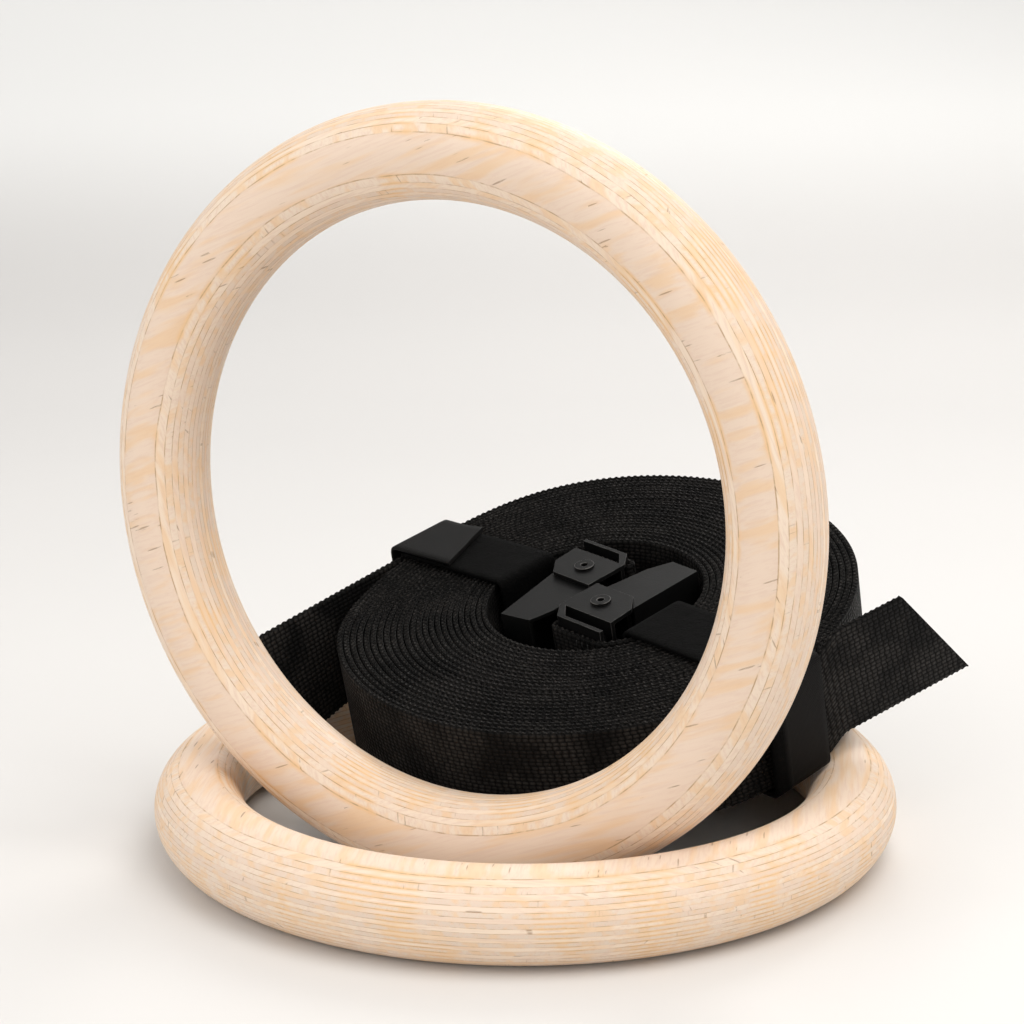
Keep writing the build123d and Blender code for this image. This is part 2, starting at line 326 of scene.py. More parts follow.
def makeRingTree():
    tree = bpy.data.node_groups.new("turned ring", "GeometryNodeTree")
    tree.interface.new_socket(name="Geometry", in_out="OUTPUT", socket_type="NodeSocketGeometry")
    ids = {}
    for title, kind in (
        ("Centre Radius", "Float"), ("Tube Radius", "Float"), ("Around Ring", "Int"), ("Around Tube", "Int"),
        ("Sanded Wave", "Float"), ("Centre", "Vector"), ("Turn", "Rotation"), ("Seed", "Float"),
        ("Material", "Material"),
    ):
        socket = tree.interface.new_socket(name=title, in_out="INPUT", socket_type="NodeSocket" + kind)
        ids[title] = socket.identifier
    given = tree.nodes.new("NodeGroupInput").outputs
    circles = []
    for count, radius in (("Around Ring", "Centre Radius"), ("Around Tube", "Tube Radius")):
        inputs = {"Resolution": given[count], "Radius": given[radius]}
        circles.append(addNode(tree, "GeometryNodeCurvePrimitiveCircle", inputs).outputs[0])
    rail, profile = circles
    tube = addNode(tree, "GeometryNodeCurveToMesh", {"Curve": rail, "Profile Curve": profile}).outputs[0]
    place = tree.nodes.new("GeometryNodeInputPosition").outputs[0]
    wave = addNode(
        tree, "ShaderNodeTexNoise", {"Vector": place, "W": given["Seed"], "Scale": 28.0, "Detail": 1.0},
        noise_dimensions="4D",
    ).outputs[0]
    depth = calc(tree, "MULTIPLY", calc(tree, "SUBTRACT", wave, 0.75), given["Sanded Wave"])
    push = vectorCalc(tree, "SCALE", tree.nodes.new("GeometryNodeInputNormal").outputs[0], depth)
    sanded = addNode(tree, "GeometryNodeSetPosition", {"Geometry": tube, "Offset": push}).outputs[0]
    smooth = addNode(tree, "GeometryNodeSetShadeSmooth", {"Geometry": sanded}).outputs[0]
    finishTree(tree, smooth, given, "Centre")
    return tree, ids


def growPiece(name, tree, ids, values):
    # runs a node tree once and keeps the result as a plain mesh
    holder = bpy.data.objects.new(name + ".grower", bpy.data.meshes.new(name + ".grower"))
    bpy.context.scene.collection.objects.link(holder)
    modifier = holder.modifiers.new("grow", "NODES")
    modifier.node_group = tree
    for title, value in values.items():
        modifier[ids[title]] = value
    bpy.context.view_layer.update()
    evaluated = holder.evaluated_get(bpy.context.evaluated_depsgraph_get())
    mesh = bpy.data.meshes.new_from_object(evaluated)
    mesh.name = name
    bpy.data.objects.remove(holder)
    piece = bpy.data.objects.new(name, mesh)
    bpy.context.scene.collection.objects.link(piece)
    return piece


def outwardNormals(mesh):
    shape = bmesh.new()
    shape.from_mesh(mesh)
    bmesh.ops.remove_doubles(shape, verts=shape.verts, dist=1e-7)
    bmesh.ops.recalc_face_normals(shape, faces=shape.faces)
    shape.to_mesh(mesh)
    shape.free()


ringTree, ringIds = makeRingTree()
low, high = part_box("ring_lower")
tubeRadius = (high[2] - low[2]) / 2
centreRadius = (high[0] - low[0]) / 2 - tubeRadius
yaw = radians(ringValues["standingYaw"])
lean = radians(ringValues["standingLean"])
facingWay = Vector((sin(yaw) * cos(lean), -cos(yaw) * cos(lean), sin(lean)))
sideWay = upAxis.cross(facingWay).normalized()
standingTurn = Matrix((sideWay, facingWay.cross(sideWay), facingWay)).transposed().to_euler()
for number, (node, body, turn, grainAngle) in enumerate((
    ("ring_lower", "lying_ring", (0.0, 0.0, 0.0), 8.0),
    ("ring_upper", "standing_ring", tuple(standingTurn), 68.0),
)):
    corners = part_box(node)
    centre = tuple((a + b) / 2 for a, b in zip(*corners))
    wood = ringWood(node + " wood", centre, turn, number * 3.0 + 1.0, grainAngle)
    ring = growPiece(node + "_turned", ringTree, ringIds, {
        "Centre Radius": centreRadius, "Tube Radius": tubeRadius, "Around Ring": ringValues["aroundRing"],
        "Around Tube": ringValues["aroundTube"], "Sanded Wave": ringValues["sandedWave"] * mm,
        "Centre": centre, "Turn": turn, "Seed": float(number), "Material": wood,
    })
    outwardNormals(ring.data)
    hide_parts(node)
    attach(ring, body)
    print("turned", node)


# webbing
webbing = {
    "width": 38.0,
    "thickness": 1.75,
    "layerPitch": 2.14,
    "halfTurns": 24,
    "innerRadius": 38.4,
    "edgeStep": 2.4,
    "ribPitch": 1.41,
    "columnPitch": 2.2,
    "columnLean": 0.12,
    "edgeDepth": 0.55,
    "cutFrom": 30.0,
    "black": (0.0098, 0.0094, 0.0092, 1),
    # lighter grey: partly real wear and dust, partly a painted highlight on the weave's crowns and frayed
    # edges
    "worn": (0.046, 0.042, 0.039, 1),
    # painted shade for the hollows of the weave, between the pile's tufts and between frayed fibres
    "paintedGapShade": (0.0004, 0.0004, 0.0004, 1),
}
tails = {
    "1": {"splay": 6.5, "rise": 5.4, "top": 46.0, "bottom": 73.0, "bandEdge": 10.0, "sideReach": 6.0},
    "2": {"splay": 1.5, "rise": 0.0, "top": 92.0, "bottom": 90.0, "bandEdge": 16.0, "sideReach": 22.0},
}
coilEnd = webbing["innerRadius"] + (webbing["halfTurns"] - 0.5) * webbing["layerPitch"]
sewnLoop = {"left": -26.0, "right": -5.8, "middle": 21.05, "radius": 1.925, "sewnTo": -24.5}


def makeWeave():
    group, given, out = newGroup(
        "plain weave",
        [
            ("Along", "Vector", None),
            ("Rib Pitch", "Float", 1.4),
            ("Column Pitch", "Float", 2.2),
            ("Lean", "Float", 0.0),
        ],
        [("Height", "Float"), ("Crown", "Float")],
    )
    split = separate(group, given["Along"])
    ribs = calc(group, "DIVIDE", split[1], given["Rib Pitch"])
    rib = calc(group, "FLOOR", ribs)
    inRib = calc(group, "SUBTRACT", calc(group, "MULTIPLY", calc(group, "SUBTRACT", ribs, rib), 2.0), 1.0)
    ribShape = calc(group, "SUBTRACT", 1.0, calc(group, "MULTIPLY", inRib, inRib))
    stagger = calc(group, "MULTIPLY", calc(group, "FLOORED_MODULO", rib, 2.0), 0.16)
    leaning = calc(group, "ADD", split[0], calc(group, "MULTIPLY", split[1], given["Lean"]))
    columns = calc(group, "ADD", calc(group, "DIVIDE", leaning, given["Column Pitch"]), stagger)
    inColumn = calc(group, "SUBTRACT", calc(group, "MULTIPLY", calc(group, "FRACT", columns), 2.0), 1.0)
    columnShape = calc(group, "SUBTRACT", 1.0, calc(group, "POWER", calc(group, "ABSOLUTE", inColumn), 3.0))
    ribHeight = calc(group, "ADD", calc(group, "MULTIPLY", ribShape, 0.6), 0.4)
    group.links.new(calc(group, "MULTIPLY", columnShape, ribHeight), out["Height"])
    group.links.new(calc(group, "MULTIPLY", ribShape, columnShape), out["Crown"])
    return group


weave = makeWeave()


def webbingCloth():
    material, tree, shader = newMaterial("black webbing")
    uv = addNode(tree, "ShaderNodeUVMap", uv_map="cloth").outputs[0]
    cloth = vectorCalc(tree, "SCALE", uv, 1000.0)
    coords = objectCoords(tree)
    made = useGroup(tree, weave, {
        "Along": cloth,
        "Rib Pitch": webbing["ribPitch"],
        "Column Pitch": webbing["columnPitch"],
        "Lean": webbing["columnLean"],
    })
    fuzz = noise(tree, coords, 900.0, 3.0, 0.65)
    dustAndSheenPatches = between(tree, noise(tree, coords, 60.0, 4.0, 0.6), 0.38, 0.62)
    crown = calc(tree, "MULTIPLY", made["Crown"], between(tree, fuzz, 0.3, 0.75, 0.35, 1.0))
    # painted shade: the hollows between the weave's crowns are painted near black
    colour = blendColour(tree, crown, webbing["paintedGapShade"], webbing["black"])
    # the weave's crowns are lighter in patches: partly real dust and wear, partly a painted highlight
    dustAndCrownSheen = calc(tree, "MULTIPLY", calc(tree, "MULTIPLY", crown, dustAndSheenPatches), 0.8)
    colour = blendColour(tree, dustAndCrownSheen, colour, webbing["worn"])
    # the selvedges are frayed, speckled with painted shade between the loose fibres and with the worn grey,
    # partly real wear and partly a painted highlight
    fromMiddle = calc(tree, "ABSOLUTE", separate(tree, cloth)[1])
    edge = calc(tree, "MULTIPLY", between(tree, fromMiddle, 18.3, 18.9), 0.8)
    edgeColour = blendColour(tree, between(tree, fuzz, 0.42, 0.68), webbing["paintedGapShade"], webbing["worn"])
    colour = blendColour(tree, edge, colour, edgeColour)
    relief = calc(tree, "ADD", made["Height"], calc(tree, "MULTIPLY", fuzz, 0.35))
    setShader(tree, shader, {
        "Base Color": colour,
        "Roughness": between(tree, crown, 0.0, 1.0, 0.75, 0.46),
        "Normal": bump(tree, relief, 0.00035),
        "Specular IOR Level": 0.09,
    })
    return material


clothMaterial = webbingCloth()


def walk(points, step):
    # evenly spaced points along a polyline, and how far along each one is
    points = np.asarray(points, float)
    lengths = np.concatenate(([0.0], np.cumsum(np.linalg.norm(np.diff(points, axis=0), axis=1))))
    count = max(2, int(round(lengths[-1] / step)) + 1)
    places = np.linspace(0.0, lengths[-1], count)
    return np.stack([np.interp(places, lengths, points[:, k]) for k in range(2)], axis=1), places


def arc(centre, radius, start, sweep, step):
    count = max(3, int(abs(radians(sweep)) * radius / step) + 1)
    angles = np.radians(np.linspace(start, start + sweep, count))
    return np.stack([centre[0] + radius * np.cos(angles), centre[1] + radius * np.sin(angles)], axis=1)


def softCurve(points, perSpan=14):
    # Catmull-Rom through the points
    points = np.asarray(points, float)
    padded = np.vstack([2 * points[0] - points[1], points, 2 * points[-1] - points[-2]])
    places = np.linspace(0, 1, perSpan, endpoint=False)[:, None]
    spans = []
    for a, b, c, d in zip(padded[:-3], padded[1:-2], padded[2:-1], padded[3:]):
        spans.append(0.5 * (2 * b + (c - a) * places + (2 * a - 5 * b + 4 * c - d) * places ** 2
                            + (3 * b - a - 3 * c + d) * places ** 3))
    return np.vstack(spans + [points[-1:]])


def strapRoute(tail):
    # sewn loop, lead, wound turns and free end, from above, in the frame that the strap is wound in
    start = webbing["innerRadius"] - webbing["layerPitch"] / 2
    inner = sewnLoop["middle"] - sewnLoop["radius"]
    outer = sewnLoop["middle"] + sewnLoop["radius"]
    loop = np.vstack([
        [(sewnLoop["sewnTo"], inner), (sewnLoop["right"], inner)],
        arc((sewnLoop["right"], sewnLoop["middle"]), sewnLoop["radius"], -90, 180, 0.4),
        [(sewnLoop["sewnTo"], outer)],
    ])
    lead = softCurve([
        (sewnLoop["sewnTo"], outer), (-27.6, 22.0), (-31.4, 17.4), (-34.3, 12.0), (-36.6, 5.6), (-start, 0.0),
    ])
    turns = [
        arc(((webbing["layerPitch"] / 2) * (1 if turn % 2 else -1), 0.0),
            webbing["innerRadius"] + turn * webbing["layerPitch"], 180.0 * (turn % 2), 180.0, 0.6)
        for turn in range(webbing["halfTurns"])
    ]
    reach = max(tail["top"], tail["bottom"]) + 2
    splay = radians(tail["splay"])
    free = [(coilEnd + sin(splay) * reach, cos(splay) * reach)]
    return np.vstack([-loop, -lead[1:], *turns, free]), reach


press = {
    "outer": 9.6,
    "inner": 1.0,
    "reachAhead": 48.0,
    "reachBehind": 60.0,
    "softTo": 26.0,
    "freeEndIn": 4.0,
    "freeEndTwist": 15.0,
}


def pressed(x, y):
    # the tie band pulls the coil's left side nearly straight
    radius = np.hypot(x, y)
    span = webbing["halfTurns"] * webbing["layerPitch"]
    amount = press["inner"] + (press["outer"] - press["inner"]) * (radius - webbing["innerRadius"]) / span
    ahead = np.exp(-((y / press["reachAhead"]) ** 2))
    behind = np.exp(-((y / press["reachBehind"]) ** 4))
    fade = np.where(y > 0, ahead, behind)
    onLeft = smoothSteps(-x, 0.0, press["softTo"])
    return x + np.clip(amount, 0, None) * fade * onLeft


def smoothSteps(values, low, high):
    share = np.clip((values - low) / (high - low), 0, 1)
    return share * share * (3 - 2 * share)


def wobble(places, scale, seed):
    # smooth noise along a length, from -1 to 1
    picks = np.random.default_rng(seed).uniform(-1, 1, int(places[-1] / scale) + 4)
    at = places / scale
    low = at.astype(int)
    share = at - low
    share = share * share * (3 - 2 * share)
    return picks[low] * (1 - share) + picks[low + 1] * share


def sweepCloth(name, outline, uvs, material):
    # outline: rings of points along the piece, in the coil's frame and in millimetres
    count, ringSize = outline.shape[:2]
    matrix = np.array(coilFrame)
    world = (outline.reshape(-1, 3) * mm) @ matrix[:3, :3].T + matrix[:3, 3]
    faces = []
    for i in range(count - 1):
        for k in range(ringSize):
            after = (k + 1) % ringSize
            low, high = i * ringSize, (i + 1) * ringSize
            faces.append((low + k, low + after, high + after, high + k))
    faces.append(tuple(reversed(range(ringSize))))
    faces.append(tuple(range((count - 1) * ringSize, count * ringSize)))
    mesh = bpy.data.meshes.new(name)
    mesh.from_pydata(world.tolist(), [], faces)
    layer = mesh.uv_layers.new(name="cloth")
    corners = np.empty(len(mesh.loops), dtype=np.int32)
    mesh.loops.foreach_get("vertex_index", corners)
    layer.data.foreach_set("uv", uvs.reshape(-1, 2).astype(np.float32)[corners].ravel())
    mesh.materials.append(material)
    return mesh


def cutFreeEnd(mesh, tail, foot, forward, sideReach):
    # the slanting cut at the free end
    sideways = Vector((forward.y, -forward.x, 0))
    topEnd = foot + forward * tail["top"] + Vector((0, 0, tail["rise"]))
    bottomEnd = foot + forward * tail["bottom"] + Vector((0, 0, tail["rise"] - webbing["width"]))
    cutNormal = (topEnd - bottomEnd).cross(sideways)
    if cutNormal.dot(forward) < 0:
        cutNormal.negate()
    shape = bmesh.new()
    shape.from_mesh(mesh)
    toCoil = coilFrame.inverted()
    near = []
    for face in shape.faces:
        place = toCoil @ face.calc_center_median() / mm - foot
        if place.dot(forward) > webbing["cutFrom"] and abs(place.dot(sideways)) < sideReach:
            near.append(face)
    geometry = list({v for f in near for v in f.verts}) + list({e for f in near for e in f.edges}) + near
    cut = bmesh.ops.bisect_plane(
        shape, geom=geometry, plane_co=coilFrame @ (topEnd * mm), plane_no=coilFrame.to_3x3() @ cutNormal,
        clear_outer=True,
    )
    rim = [e for e in cut["geom_cut"] if isinstance(e, bmesh.types.BMEdge)]
    bmesh.ops.holes_fill(shape, edges=rim, sides=0)
    bmesh.ops.recalc_face_normals(shape, faces=shape.faces)
    shape.to_mesh(mesh)
    shape.free()


def makeStrap(key, turned):
    tail = tails[key]
    route, reach = strapRoute(tail)
    points, places = walk(route, webbing["edgeStep"] / 4)
    heading = np.gradient(points, axis=0)
    heading /= np.linalg.norm(heading, axis=1)[:, None]
    normal = np.stack([heading[:, 1], -heading[:, 0]], axis=1)
    tailPlace = places - (places[-1] - reach)
    lift = tail["rise"] * smoothSteps(tailPlace, tail["bandEdge"] - 2, tail["bandEdge"] + 10)
    top = lift - 0.25 + 0.22 * wobble(places, 70.0, 11 + int(key))
    half = webbing["thickness"] / 2
    phase = 2 * pi * places / webbing["edgeStep"]
    crest = webbing["edgeDepth"] * (0.5 + 0.5 * np.cos(phase))
    dip = webbing["edgeDepth"] * (0.5 - 0.5 * np.cos(phase))
    width = webbing["width"] - 0.4
    # eight points round the webbing's section: across the thickness, up its width
    section = [
        (-half, top - 0.7), (-half * 0.55, top - crest), (half * 0.55, top - dip), (half, top - 0.7),
        (half, top - width + 0.7), (half * 0.55, top - width + crest),
        (-half * 0.55, top - width + dip), (-half, top - width + 0.7),
    ]
    sign = -1 if turned else 1
    outline = np.empty((len(points), len(section), 3))
    uvs = np.empty((len(points), len(section), 2))
    middle = top - width / 2
    # the free end on the left starts where the pressed coil leaves it
    freeEnd = (tailPlace > 0) & turned
    startX = pressed(np.array([-coilEnd]), np.array([0.0]))[0]
    for k, (across, level) in enumerate(section):
        local = (points + normal * across) * sign
        settled = pressed(local[:, 0], local[:, 1])
        # and its lower edge leans in, clear of the lying ring
        along = np.clip(tailPlace / tail["top"], 0, None)
        leanIn = press["freeEndTwist"] * along ** 2 * np.clip((top - level) / width, 0, 1)
        straight = startX - across + along * press["freeEndIn"] + leanIn
        outline[:, k, 0] = np.where(freeEnd, straight, settled)
        outline[:, k, 1] = local[:, 1]
        outline[:, k, 2] = level
        uvs[:, k, 0] = places * mm
        uvs[:, k, 1] = (level - middle) * mm
    mesh = sweepCloth("strap_" + key, outline, uvs, clothMaterial)
    splay = radians(tail["splay"])
    forward = Vector((sin(splay), cos(splay), 0)) * sign
    foot = Vector((startX if turned else coilEnd, 0, 0))
    cutFreeEnd(mesh, tail, foot, forward, tail["sideReach"])
    strap = bpy.data.objects.new("strap_" + key, mesh)
    bpy.context.scene.collection.objects.link(strap)
    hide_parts("strap_" + key + "_coil", "strap_" + key + "_tail", "strap_" + key + "_buckle_loop")
    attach(strap, "strap_bundle")
    length = (places[-1] - reach + (tail["top"] + tail["bottom"]) / 2) * mm
    print("strap", key, "length, m:", round(float(length), 3), "faces", len(mesh.polygons))
    return strap, float(length)


straps = {}
for key, turned in (("1", False), ("2", True)):
    straps[key], strapLength = makeStrap(key, turned)


# cam buckles
metal = {
    "bevel": 0.28,
    "coat": (0.0026, 0.0026, 0.0027, 1),
    "smear": (0.0075, 0.0072, 0.0070, 1),
    "worn": (0.17, 0.166, 0.16, 1),
    "rivetBevel": 0.2,
    "sharpAngle": 35.0,
    "roundFaceArea": 4e-6,
}


def coatedSteel(name, roughness, wornShare):
    material, tree, shader = newMaterial(name)
    coords = objectCoords(tree)
    wear = addNode(tree, "ShaderNodeAttribute", attribute_name="wear").outputs["Fac"]
    patches = between(tree, noise(tree, coords, 260.0, 4.0, 0.65), 0.32, 0.54)
    worn = calc(tree, "MULTIPLY", calc(tree, "MULTIPLY", wear, patches), wornShare)
    smear = noise(tree, coords, 45.0, 4.0, 0.6)
    grit = noise(tree, coords, 1800.0, 2.0)
    colour = blendColour(tree, between(tree, smear, 0.35, 0.75, 0.0, 0.35), metal["coat"], metal["smear"])
    colour = blendColour(tree, worn, colour, metal["worn"])
    setShader(tree, shader, {
        "Base Color": colour,
        "Roughness": calc(tree, "ADD", roughness, calc(tree, "MULTIPLY", smear, 0.18)),
        "Metallic": calc(tree, "MULTIPLY", worn, 0.8),
        "Normal": bump(tree, grit, 0.00004),
        "Specular IOR Level": 0.10,
    })
    return material


steelCoat = coatedSteel("black coated steel", 0.40, 0.75)
rivetCoat = coatedSteel("black rivet", 0.42, 0.6)
springSteel = coatedSteel("spring wire", 0.3, 1.0)


def refineMetal(node, body, material, bevel):
    # a copy of the CAD piece with softened edges that carry the wear
    mesh = frame["nodes"][node].data.copy()
    mesh.materials.clear()
    shape = bmesh.new()
    shape.from_mesh(mesh)
    wear = shape.faces.layers.float.new("wear")
    bmesh.ops.remove_doubles(shape, verts=shape.verts, dist=2e-6)
    bmesh.ops.dissolve_limit(shape, angle_limit=radians(1.5), verts=shape.verts, edges=shape.edges)
    sharpFrom = radians(metal["sharpAngle"])
    sharp = [e for e in shape.edges if e.is_manifold and e.calc_face_angle(0) > sharpFrom]
    made = bmesh.ops.bevel(
        shape, geom=sharp, offset=bevel * mm, segments=2, profile=0.5, affect="EDGES", clamp_overlap=True
    )
    for face in made["faces"]:
        face[wear] = 1.0
    for face in shape.faces:
        face.smooth = face.calc_area() < metal["roundFaceArea"]
    bmesh.ops.recalc_face_normals(shape, faces=shape.faces)
    shape.to_mesh(mesh)
    shape.free()
    mesh.materials.append(material)
    piece = bpy.data.objects.new(node + "_finished", mesh)
    bpy.context.scene.collection.objects.link(piece)
    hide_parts(node)
    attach(piece, body)
    return piece


for key in ("1", "2"):
    refineMetal("buckle_" + key + "_frame", "strap_bundle", steelCoat, metal["bevel"])
    refineMetal("buckle_" + key + "_cam_lever", "lever_" + key, steelCoat, metal["bevel"])
    refineMetal("buckle_" + key + "_axle", "strap_bundle", rivetCoat, metal["rivetBevel"])
    spring = frame["nodes"]["buckle_" + key + "_spring"].data
    spring.materials.clear()
    spring.materials.append(springSteel)
print("buckles finished")


# tie band
band = {
    "width": 25.0,
    "thickness": 1.5,
    "centre": -3.0,
    "lift": 0.3,
    "corner": 2.6,
    "dipX": 29.8,
    "dipDepth": 40.7,
    "slant": 0.09,
    "slantFrom": -32.0,
    "wallGap": 3.1,
    "tabEnd": -57.0,
    "obliqueFrom": -74.0,
    "obliqueTo": -51.0,
    "oblique": 0.42,
    "backing": (0.0125, 0.0118, 0.0118, 1),
    "pile": (0.0022, 0.0022, 0.0022, 1),
}


def tapeCloth():
    material, tree, shader = newMaterial("hook and loop tape")
    uv = addNode(tree, "ShaderNodeUVMap", uv_map="cloth").outputs[0]
    cloth = vectorCalc(tree, "SCALE", uv, 1000.0)
    coords = objectCoords(tree)
    pile = addNode(tree, "ShaderNodeAttribute", attribute_name="pile").outputs["Fac"]
    made = useGroup(tree, weave, {"Along": cloth, "Rib Pitch": 0.55, "Column Pitch": 0.5})
    tufts = noise(tree, coords, 1300.0, 4.0, 0.7)
    clumps = noise(tree, coords, 300.0, 2.0)
    # painted shade in the hollows of the tape's weave and between the pile's tufts
    smoothColour = blendColour(tree, made["Crown"], webbing["paintedGapShade"], band["backing"])
    pileColour = blendColour(tree, between(tree, tufts, 0.35, 0.7), webbing["paintedGapShade"], band["pile"])
    smoothRelief = calc(tree, "MULTIPLY", made["Height"], 0.25)
    pileRelief = calc(tree, "ADD", calc(tree, "MULTIPLY", tufts, 1.4), clumps)
    setShader(tree, shader, {
        "Base Color": blendColour(tree, pile, smoothColour, pileColour),
        "Roughness": blendValue(tree, pile, 0.5, 0.85),
        "Normal": bump(tree, blendValue(tree, pile, smoothRelief, pileRelief), 0.0004),
        "Specular IOR Level": 0.06,
    })
    return material


tapeMaterial = tapeCloth()


def roundedRoute(points, radius, step=0.7):
    # a polyline with an arc at each corner
    points = [Vector((x, y)) for x, y in points]
    route = [points[0]]
    for before, corner, after in zip(points[:-2], points[1:-1], points[2:]):
        toBefore = (before - corner).normalized()
        toAfter = (after - corner).normalized()
        reach = min(radius, 0.45 * (before - corner).length, 0.45 * (after - corner).length)
        for share in np.linspace(0, 1, 8):
            a = corner + toBefore * reach * (1 - share)
            b = corner + toAfter * reach * share
            route.append(a * (1 - share) + b * share)
    route.append(points[-1])
    return walk([tuple(p) for p in route], step)


def makeTape(name, points, corner, isPile, slantOf, trimEnd=None):
    # tape that follows a route in the coil's upright cross-section
    route, places = roundedRoute(points, corner)
    heading = np.gradient(route, axis=0)
    heading /= np.linalg.norm(heading, axis=1)[:, None]
    normal = np.stack([-heading[:, 1], heading[:, 0]], axis=1)
    half = band["thickness"] / 2
    wide = band["width"] / 2
    rows = [-1, -0.97, -0.8, -0.6, -0.4, -0.2, 0, 0.2, 0.4, 0.6, 0.8, 0.97, 1]
    section = [(half * (0.35 if abs(r) == 1 else 0.9 if abs(r) > 0.9 else 1.0), r * wide) for r in rows]
    section += [(-depth, y) for depth, y in reversed(section)]
    outline = np.empty((len(route), len(section), 3))
    uvs = np.empty((len(route), len(section), 2))
    for k, (off, y) in enumerate(section):
        level = route[:, 0] + normal[:, 0] * off
        outline[:, k, 0] = pressed(level, np.zeros(len(level)))
        outline[:, k, 2] = route[:, 1] + normal[:, 1] * off
        outline[:, k, 1] = band["centre"] + y + slantOf(level)
        uvs[:, k, 0] = places * mm
        uvs[:, k, 1] = y * mm
    if trimEnd is not None:
        outline = trimEnd(outline)
    mesh = sweepCloth(name, outline, uvs, tapeMaterial)
    attribute = mesh.attributes.new("pile", "FLOAT", "POINT")
    attribute.data.foreach_set("value", isPile(outline).astype(np.float32).ravel())
    shape = bmesh.new()
    shape.from_mesh(mesh)
    bmesh.ops.recalc_face_normals(shape, faces=shape.faces)
    for face in shape.faces:
        face.smooth = len(face.verts) == 4
    shape.to_mesh(mesh)
    shape.free()
    piece = bpy.data.objects.new(name, mesh)
    bpy.context.scene.collection.objects.link(piece)
    return piece, float(places[-1])


wallX = coilEnd + band["wallGap"]
topLine = band["lift"] + band["thickness"] / 2
underLine = -webbing["width"] - topLine
dipLine = -band["dipDepth"] - band["thickness"] + 0.05
lowLine = dipLine - band["thickness"] - 0.3
bandRoute = [
    (-86.0, topLine), (-band["dipX"], topLine), (-band["dipX"], -34.0), (-band["dipX"] + 2.5, dipLine),
    (band["dipX"] - 2.5, dipLine), (band["dipX"], -34.0), (band["dipX"], topLine), (wallX, topLine),
    (wallX, underLine), (42.0, underLine), (24.0, lowLine), (-24.0, lowLine), (-42.0, underLine),
    (-wallX, underLine), (-wallX, -2.0),
]


def bandPile(outline):
    onWall = smoothSteps(outline[:, :, 0], 84.0, 86.0)
    leftStrip = smoothSteps(-outline[:, :, 1], 8.5, 9.5)
    return 1 - onWall * (1 - leftStrip)


def leftSlant(x):
    return np.where(x < band["slantFrom"], (x - band["slantFrom"]) * band["slant"], 0.0)


tieBand, bandLength = makeTape("tie_band_tape", bandRoute, band["corner"], bandPile, leftSlant)
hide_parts("tie_band")
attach(tieBand, "strap_bundle")

tabLine = topLine + band["thickness"] + 0.3
tabRoute = [(-wallX - 0.2, -9.0), (-wallX - 0.2, tabLine), (band["tabEnd"], tabLine)]


def obliqueEnd(outline):
    # the tab's end is cut at a slant
    share = smoothSteps(outline[:, :, 0], band["obliqueFrom"], band["obliqueTo"])
    fromEdge = outline[:, :, 1] - band["centre"] + band["width"] / 2 + 4
    outline[:, :, 0] -= share * fromEdge * band["oblique"]
    return outline


def noPile(outline):
    return outline[:, :, 0] * 0.0


hookTab, tabLength = makeTape("hook_tab_tape", tabRoute, 3.0, noPile, leftSlant, obliqueEnd)
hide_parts("tie_band_hook_tab")
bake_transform(hookTab)
print("tie band, m:", round(bandLength * mm, 3))


# stitches across the sewn loops
stitches = {
    "rows": 3,
    "perRow": 11,
    "rowGap": 2.6,
    "length": 2.2,
    "thickness": 0.5,
    "offset": -3.0,
    "shade": (0.008, 0.008, 0.008, 1),
    "thread": (0.03, 0.03, 0.03, 1),
}


def threadMaterial():
    material, tree, shader = newMaterial("bonded thread")
    coords = objectCoords(tree)
    twist = noise(tree, coords, 2500.0, 2.0)
    setShader(tree, shader, {
        "Base Color": blendColour(tree, twist, stitches["shade"], stitches["thread"]),
        "Roughness": between(tree, twist, 0.3, 0.7, 0.4, 0.6),
        "Normal": bump(tree, twist, 0.0001),
    })
    return material


def makeStitchTree():
    tree = bpy.data.node_groups.new("stitch rows", "GeometryNodeTree")
    tree.interface.new_socket(name="Geometry", in_out="OUTPUT", socket_type="NodeSocketGeometry")
    ids = {}
    for title, kind in (
        ("Rows", "Int"), ("Per Row", "Int"), ("Row Gap", "Float"), ("Row Length", "Float"),
        ("Stitch Length", "Float"), ("Thread Radius", "Float"), ("Place", "Vector"), ("Turn", "Rotation"),
        ("Material", "Material"),
    ):
        socket = tree.interface.new_socket(name=title, in_out="INPUT", socket_type="NodeSocket" + kind)
        ids[title] = socket.identifier
    given = tree.nodes.new("NodeGroupInput").outputs
    grid = addNode(tree, "GeometryNodeMeshGrid", {
        "Size X": calc(tree, "MULTIPLY", given["Row Gap"], calc(tree, "SUBTRACT", given["Rows"], 1.0)),
        "Size Y": given["Row Length"], "Vertices X": given["Rows"], "Vertices Y": given["Per Row"],
    }).outputs[0]
    stitch = addNode(tree, "GeometryNodeMeshUVSphere", {"Segments": 8, "Rings": 6, "Radius": 1.0}).outputs[0]
    smooth = addNode(tree, "GeometryNodeSetShadeSmooth", {"Geometry": stitch}).outputs[0]
    halfLength = calc(tree, "MULTIPLY", given["Stitch Length"], 0.5)
    size = combine(tree, given["Thread Radius"], halfLength, given["Thread Radius"])
    inputs = {"Points": grid, "Instance": smooth, "Scale": size}
    spread = addNode(tree, "GeometryNodeInstanceOnPoints", inputs).outputs[0]
    finishTree(tree, spread, given, "Place")
    return tree, ids


